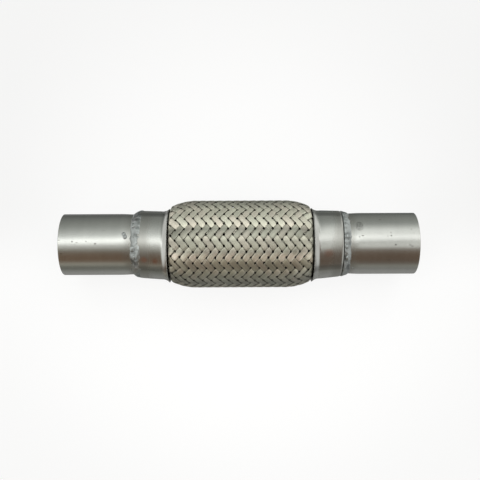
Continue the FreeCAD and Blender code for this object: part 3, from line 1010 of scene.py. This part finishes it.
class PIPE_OT_end_caps(bpy.types.Operator):
    """Builds both flared collars."""

    bl_idname = "pipe.end_caps"
    bl_label = "End Caps"

    def execute(self, context):
        sizes, finish = context.scene.pipe_sizes, context.scene.pipe_finish
        material = brushed_steel("collar_steel", finish.collar_colour, finish.brushing, 0.24, 0.8,
                                 sizes.cap_outside - sizes.cap_wall, collar_wear)
        for name, seam, lip, worn, end_round, shift in (
                ("inlet_cap", INLET_SEAM, INLET_LIP, 0.0, sizes.end_round, sizes.cap_shift),
                ("outlet_cap", OUTLET_SEAM, OUTLET_LIP, sizes.outlet_draw, 1.3 * sizes.end_round,
                 0.8 * sizes.cap_shift)):
            swept(name, cap_section(seam, lip, worn, end_round, sizes),
                  {"Steps": sizes.turn_steps, "Shift": shift, "Material": material},
                  name.replace("_cap", "_end_cap"))
        return {"FINISHED"}


# each drop's x, turn from the top in degrees, radius, length, width and height, in millimetres
WELD_DROPS = (
    (-80.9, -18.2, 21.9, 2.8, 3.0, 1.8), (-79.9, -13.0, 21.9, 3.0, 3.6, 2.0), (-74.6, 9.0, 23.6, 3.4, 4.6, 2.2),
    (-73.2, 24.0, 23.9, 3.0, 4.0, 1.8), (-74.4, -34.0, 23.4, 3.0, 4.4, 1.8), (-78.6, 150.0, 21.9, 1.3, 1.2, 0.9),
    (-81.0, -121.0, 22.1, 0.9, 0.9, 0.7), (80.4, 52.0, 21.9, 1.0, 1.1, 0.8), (75.6, -12.0, 23.5, 2.2, 3.6, 1.8),
    (75.4, 6.0, 23.5, 2.0, 3.2, 1.7), (75.8, 27.0, 23.5, 2.4, 3.8, 1.9), (80.9, -140.0, 22.1, 1.2, 1.0, 0.8))


class PIPE_OT_weld_beads(bpy.types.Operator):
    """Builds both lumpy weld beads and the drops beside them."""

    bl_idname = "pipe.weld_beads"
    bl_label = "Weld Beads"

    def execute(self, context):
        sizes = context.scene.pipe_sizes
        material = weld_metal(context.scene.pipe_finish.weld_colour)
        for name, seam, outward, lap, crown, draw, lumps, seed in (
                ("inlet_bead", INLET_SEAM, -1, 2.2 * MM, 0.9 * MM, 0.0, 2.0 * MM, 1.0),
                ("outlet_bead", OUTLET_SEAM, 1, 0.0, 0.35 * MM, 0.7 * MM, 1.5 * MM, 6.0)):
            swept(name, bead_section(seam, outward, lap, crown, draw, sizes), {
                "Steps": 420, "Material": material, "Lumps": lumps, "Lump size": 5.6 * MM, "Ripple": 0.06 * MM,
                "Ripples": 44.0, "Wander": 4.5 * MM, "Rest radius": TUBE_RADIUS - 0.5 * MM, "Seed": seed},
                name.replace("_bead", "_weld_bead"))
        grown("weld_drops", drop_points(WELD_DROPS), drop_tree(), {"Material": material}, None)
        return {"FINISHED"}


# loose wires: each a row of (x, y across the pipe's top, height over the braid), in millimetres
LOOSE_WIRES = (
    ((52.2, 2.6, -1.6), (50.6, 2.2, 0.1), (48.8, 1.3, 0.25), (49.2, 0.4, 0.3), (50.6, -0.7, 0.1), (52.1, -1.6, -1.6)),
    ((30.6, 4.3, 0.0), (32.5, 2.0, 0.2), (34.8, -0.9, 0.22), (36.9, -3.7, -0.1)),
    ((31.5, 4.4, 0.0), (33.5, 1.9, 0.25), (35.7, -0.8, 0.22), (37.7, -3.4, -0.1)),
    ((29.8, 4.1, 0.0), (31.6, 2.1, 0.2), (33.8, -0.6, 0.2), (35.6, -2.9, -0.1)),
    ((-6.9, 2.3, -0.1), (-5.4, 0.9, 0.3), (-4.1, -0.4, 0.35), (-3.3, 0.5, -0.1)),
    ((16.5, 14.6, -0.1), (18.6, 12.2, 0.25), (20.4, 9.9, -0.1)),
    ((-24.4, -15.0, -0.1), (-22.3, -12.2, 0.25), (-20.4, -9.9, -0.1)),
    ((-47.4, -6.0, -0.8), (-45.6, -3.8, 0.2), (-43.8, -2.2, 0.2), (-42.6, -0.4, -0.2)))
LOOSE_WIRE_RADIUS = 0.17 * MM


def loose_lines(wires):
    """Loose wires as lines that lie on the braid."""
    mesh = bpy.data.meshes.new("loose_lines")
    places, joined = [], []
    for wire in wires:
        for k, (x, y, height) in enumerate(wire):
            out = min(braid_radius(x * MM) + height * MM, BELLY_RADIUS - 0.18 * MM)
            turn = y * MM / out
            if k:
                joined.append((len(places) - 1, len(places)))
            places.append((x * MM, out * math.sin(turn), out * math.cos(turn)))
    mesh.from_pydata(places, joined, [])
    return mesh


class PIPE_OT_braid(bpy.types.Operator):
    """Weaves the wire braid, one piece for each winding direction, with its few loose wires."""

    bl_idname = "pipe.braid"
    bl_label = "Wire Braid"

    def execute(self, context):
        sizes = context.scene.braid_sizes
        line, zero = strand_line(sizes)
        tree = strand_tree()
        material = wire_steel(context.scene.pipe_finish.wire_colour, sizes.wires)
        for name, direction in (("braid_wound_right", 1.0), ("braid_wound_left", -1.0)):
            grown(name, made_points(line), tree, {
                "Strands": sizes.strand_pairs, "Wires": sizes.wires, "Wire steps": sizes.wire_steps,
                "Crossing steps": sizes.crossing_steps, "Zero step": zero, "Direction": direction,
                "Phase": sizes.phase, "Cover": sizes.cover, "Pinch": sizes.pinch,
                "Thickness": sizes.thickness, "Wave": sizes.wave,
                "Seed": sizes.seed, "Material": material}, "outer_braid")
        grown("loose_wires", loose_lines(LOOSE_WIRES), wire_tree(), {
            "Radius": LOOSE_WIRE_RADIUS, "Material": loose_steel()}, None)
        return {"FINISHED"}


# the hidden layers: steps round each, the bellows' folds, and how far these stay off the lips
INNER_STEPS = 96
FOLDS = 9
PLAIN_CUFF = 7 * MM
BELLOWS_WALL = 0.4 * MM
LINER_PITCH = 9 * MM
LINER_STRIP = 0.2 * MM


class PIPE_OT_inner_layers(bpy.types.Operator):
    """Builds the bellows and the strip wound liner inside it."""

    bl_idname = "pipe.inner_layers"
    bl_label = "Bellows and Liner"

    def execute(self, context):
        finish = context.scene.pipe_finish
        # painted shade: the bellows darker towards its fold roots, the liner darker towards its outer radius
        bellows = rolled_steel("bellows_steel", finish.bellows_colour, (0.024, 0.03, 0.5, 1.0))
        liner = rolled_steel("liner_steel", finish.liner_colour, (0.021, 0.0205, 0.75, 1.0))
        section = bellows_section(INLET_LIP + PLAIN_CUFF, OUTLET_LIP - PLAIN_CUFF, LINER_RADIUS + 0.4 * MM,
                                  FOLDS, BELLOWS_WALL)
        swept("bellows_tube", section, {"Steps": INNER_STEPS, "Material": bellows}, "bellows")
        turns = (OUTLET_SEAM - INLET_SEAM) / LINER_PITCH - 1
        strip = [(INLET_SEAM + x, radius) for x, radius in liner_section(LINER_PITCH, LINER_RADIUS, LINER_STRIP)]
        swept("liner_strip", strip, {
            "Steps": int(turns * INNER_STEPS), "Turns": turns, "Lead": LINER_PITCH, "Material": liner},
            "interlock_liner")
        return {"FINISHED"}


# how brightly the paper shows to the camera, the room's own whites, how far its bands slant and out to
# where, and the bands that the metal shows on the left and on the right, as (turn from overhead in degrees,
# colour)
PAPER_GLOW = 0.79
ROOM_WHITE, SCREEN_WHITE = (0.93, 0.93, 0.93, 1), (0.95, 0.95, 0.93, 1)
SLANT, SLANT_END = math.radians(39), 0.7
ROOM_BANDS = (
        (-180, (0.3, 0.3, 0.3)), (-142, (0.34, 0.34, 0.33)), (-120, (0.33, 0.33, 0.32)), (-106, (0.16, 0.165, 0.145)),
        (-88, (0.13, 0.135, 0.115)), (-83, (0.4, 0.39, 0.34)), (-73, (0.42, 0.41, 0.35)), (-68, (0.15, 0.09, 0.055)),
        (-30, (0.15, 0.1, 0.065)), (-22, (0.16, 0.14, 0.11)), (-16, (0.24, 0.23, 0.2)), (-13, (0.55, 0.55, 0.51)),
        (-4, (0.53, 0.53, 0.49)), (6, (0.6, 0.61, 0.57)), (18, (0.84, 0.87, 0.82)), (28, (0.88, 0.91, 0.87)),
        (38, (0.8, 0.83, 0.8)), (54, (0.6, 0.62, 0.59)), (72, (0.38, 0.4, 0.375)), (95, (0.28, 0.29, 0.27)),
        (125, (0.18, 0.19, 0.18)), (142, (0.1, 0.105, 0.1)), (152, (0.12, 0.125, 0.12)), (160, (0.3, 0.3, 0.3)))
RIGHT_BANDS = (
        (-180, (0.3, 0.3, 0.3)), (-142, (0.34, 0.34, 0.33)), (-120, (0.34, 0.34, 0.33)), (-110, (0.22, 0.22, 0.21)),
        (-100, (0.27, 0.27, 0.25)), (-88, (0.33, 0.33, 0.29)), (-84, (0.16, 0.14, 0.12)), (-68, (0.13, 0.09, 0.065)),
        (-30, (0.14, 0.095, 0.065)), (-17, (0.15, 0.12, 0.1)), (-14, (0.86, 0.87, 0.82)), (-9, (0.96, 0.97, 0.93)),
        (-4, (0.7, 0.71, 0.67)), (3, (0.32, 0.33, 0.3)), (10, (0.27, 0.28, 0.25)), (20, (0.6, 0.62, 0.58)),
        (35, (1.18, 1.2, 1.16)), (44, (0.98, 1.0, 0.97)), (54, (0.64, 0.66, 0.63)), (70, (0.31, 0.33, 0.31)),
        (95, (0.28, 0.29, 0.27)), (125, (0.18, 0.19, 0.18)), (142, (0.1, 0.105, 0.1)), (152, (0.12, 0.125, 0.12)),
        (160, (0.3, 0.3, 0.3)))


def pale_floor():
    """The floor's paper: white to the camera, with painted light falloff that is a little greyer far out and lighter
    towards -Y, and keeping the pipe's shadow.
    """
    surface = Surface("pale_floor", Specular_IOR_Level=0.1)
    # painted light falloff on the glow: greyer far out and lighter towards -Y
    paper = surface.eased(surface.length(surface.position), 0.07, 0.25, 1.0, 0.9)
    paper = paper + surface.eased(surface.split(surface.position)[1], -0.035, 0.035, 0.085, 0.0)
    surface.feed(surface.shader["Emission Color"], surface.xyz(paper, paper, paper))
    seen = surface.out("ShaderNodeLightPath", pick="Is Camera Ray")
    surface.feed(surface.shader["Emission Strength"], seen * PAPER_GLOW)
    return surface.coloured((0.2, 0.2, 0.2, 1), 0.9)


def studio_world(lean):
    """The room that the metal shows: white to the camera, and otherwise bands along the pipe from the lamp
    overhead, past a brown screen on the near side, down to the table."""
    world = bpy.data.worlds.new("studio")
    world.use_nodes = True
    build = Formula(world.node_tree)
    x, y, z = build.split(build.out("ShaderNodeTexCoord", pick="Generated"))
    turn = build.math("ARCTAN2", y, z) + lean
    aside = build.math("MINIMUM", build.math("MAXIMUM", x, -SLANT_END), SLANT_END)
    raised = build.eased(turn, math.radians(-15), math.radians(15))
    far = build.eased(abs(x), 0.25, 0.5)
    slant = aside * SLANT * build.math("MAXIMUM", raised, far) * (1.0 + far)
    share = build.between(turn - slant, -math.pi, math.pi)
    room = build.mixed(build.eased(x, 0.03, 0.11), build.banded(share, ROOM_BANDS, 180),
                       build.banded(share, RIGHT_BANDS, 180, 1.3))
    beyond = build.eased(abs(x), 0.4, 0.62, 0.0, 0.75) * build.eased(turn, math.radians(-110), math.radians(-60))
    room = build.mixed(beyond, room, SCREEN_WHITE)
    seen = build.out("ShaderNodeLightPath", pick="Is Camera Ray")
    build.feed(build.tree.nodes["Background"].inputs["Color"], build.mixed(seen, room, ROOM_WHITE))
    return world


# places and sizes of the lamps, and the camera's own place, all before the lean
SOFTBOX = ((0, 0.24, 0.785), (1.4, 0.28))
FILL = ((0, 0.62, 0.5), (1.2, 0.6))
CAMERA_X, CAMERA_Y = 0.69 * MM, 2.86 * MM
SENSOR_WIDTH = 36.0
FLOOR_REACH = 3.0


def lamp(name, lean, place, size, power, spin=0.0):
    """A soft rectangular lamp that faces the pipe, turned on its own axis by a spin."""
    light = bpy.data.lights.new(name, "AREA")
    light.shape = "RECTANGLE"
    light.size, light.size_y = size
    light.energy = power
    holder = bpy.data.objects.new(name, light)
    holder.location = lean @ Vector(place)
    facing = (-holder.location).to_track_quat("-Z", "Y").to_matrix()
    holder.rotation_euler = (facing @ Matrix.Rotation(spin, 3, "Z")).to_euler()
    bpy.context.scene.collection.objects.link(holder)
    return holder


class PIPE_OT_stage(bpy.types.Operator):
    """Sets the floor, the lamps, the room and the camera."""

    bl_idname = "pipe.stage"
    bl_label = "Stage"

    def execute(self, context):
        scene = context.scene
        floor_mesh = bpy.data.meshes.new("floor")
        floor_mesh.from_pydata([(x * FLOOR_REACH, y * FLOOR_REACH, FLOOR_HEIGHT)
                                for x, y in ((-1, -1), (1, -1), (1, 1), (-1, 1))], [], [(0, 1, 2, 3)])
        floor = bpy.data.objects.new("floor", floor_mesh)
        scene.collection.objects.link(floor)
        floor_mesh.materials.append(pale_floor())
        floor.visible_glossy = False
        sizes = scene.stage_sizes
        lean = Matrix.Rotation(sizes.lean, 4, "X")
        scene.world = studio_world(sizes.lean)
        lamp("softbox", lean, *SOFTBOX, sizes.lamp_power, sizes.lamp_spin)
        lamp("fill", lean, *FILL, sizes.fill_power).visible_glossy = False
        camera = bpy.data.cameras.new("camera")
        camera.lens = sizes.lens
        camera.sensor_width = SENSOR_WIDTH
        eye = bpy.data.objects.new("camera", camera)
        eye.matrix_world = lean @ Matrix.Translation((CAMERA_X, CAMERA_Y, sizes.height)) @ Matrix.Rotation(
            sizes.roll, 4, "Z")
        scene.collection.objects.link(eye)
        scene.camera = eye
        scene.view_settings.view_transform = "Standard"
        return {"FINISHED"}


class PIPE_PT_sidebar(bpy.types.Panel):
    """Lists the pipe's pieces in the 3D view's sidebar."""

    bl_label = "Flexible Exhaust Pipe"
    bl_idname = "PIPE_PT_sidebar"
    bl_space_type = "VIEW_3D"
    bl_region_type = "UI"
    bl_category = "Exhaust Pipe"

    def draw(self, context):
        for operator in OPERATORS:
            self.layout.operator(operator.bl_idname)


OPERATORS = (PIPE_OT_tube_ends, PIPE_OT_end_caps, PIPE_OT_weld_beads, PIPE_OT_braid, PIPE_OT_inner_layers,
             PIPE_OT_stage)
CLASSES = (PipeSizes, BraidSizes, StageSizes, PipeFinish) + OPERATORS + (PIPE_PT_sidebar,)


def register():
    for item in CLASSES:
        bpy.utils.register_class(item)
    bpy.types.Scene.pipe_sizes = PointerProperty(type=PipeSizes)
    bpy.types.Scene.braid_sizes = PointerProperty(type=BraidSizes)
    bpy.types.Scene.stage_sizes = PointerProperty(type=StageSizes)
    bpy.types.Scene.pipe_finish = PointerProperty(type=PipeFinish)


def unregister():
    del bpy.types.Scene.pipe_finish
    del bpy.types.Scene.stage_sizes
    del bpy.types.Scene.braid_sizes
    del bpy.types.Scene.pipe_sizes
    for item in reversed(CLASSES):
        bpy.utils.unregister_class(item)


def main():
    """Builds every piece and the stage."""
    register()
    bpy.ops.pipe.tube_ends()
    bpy.ops.pipe.end_caps()
    bpy.ops.pipe.weld_beads()
    bpy.ops.pipe.braid()
    bpy.ops.pipe.inner_layers()
    bpy.ops.pipe.stage()


if __name__ == "__main__":
    main()
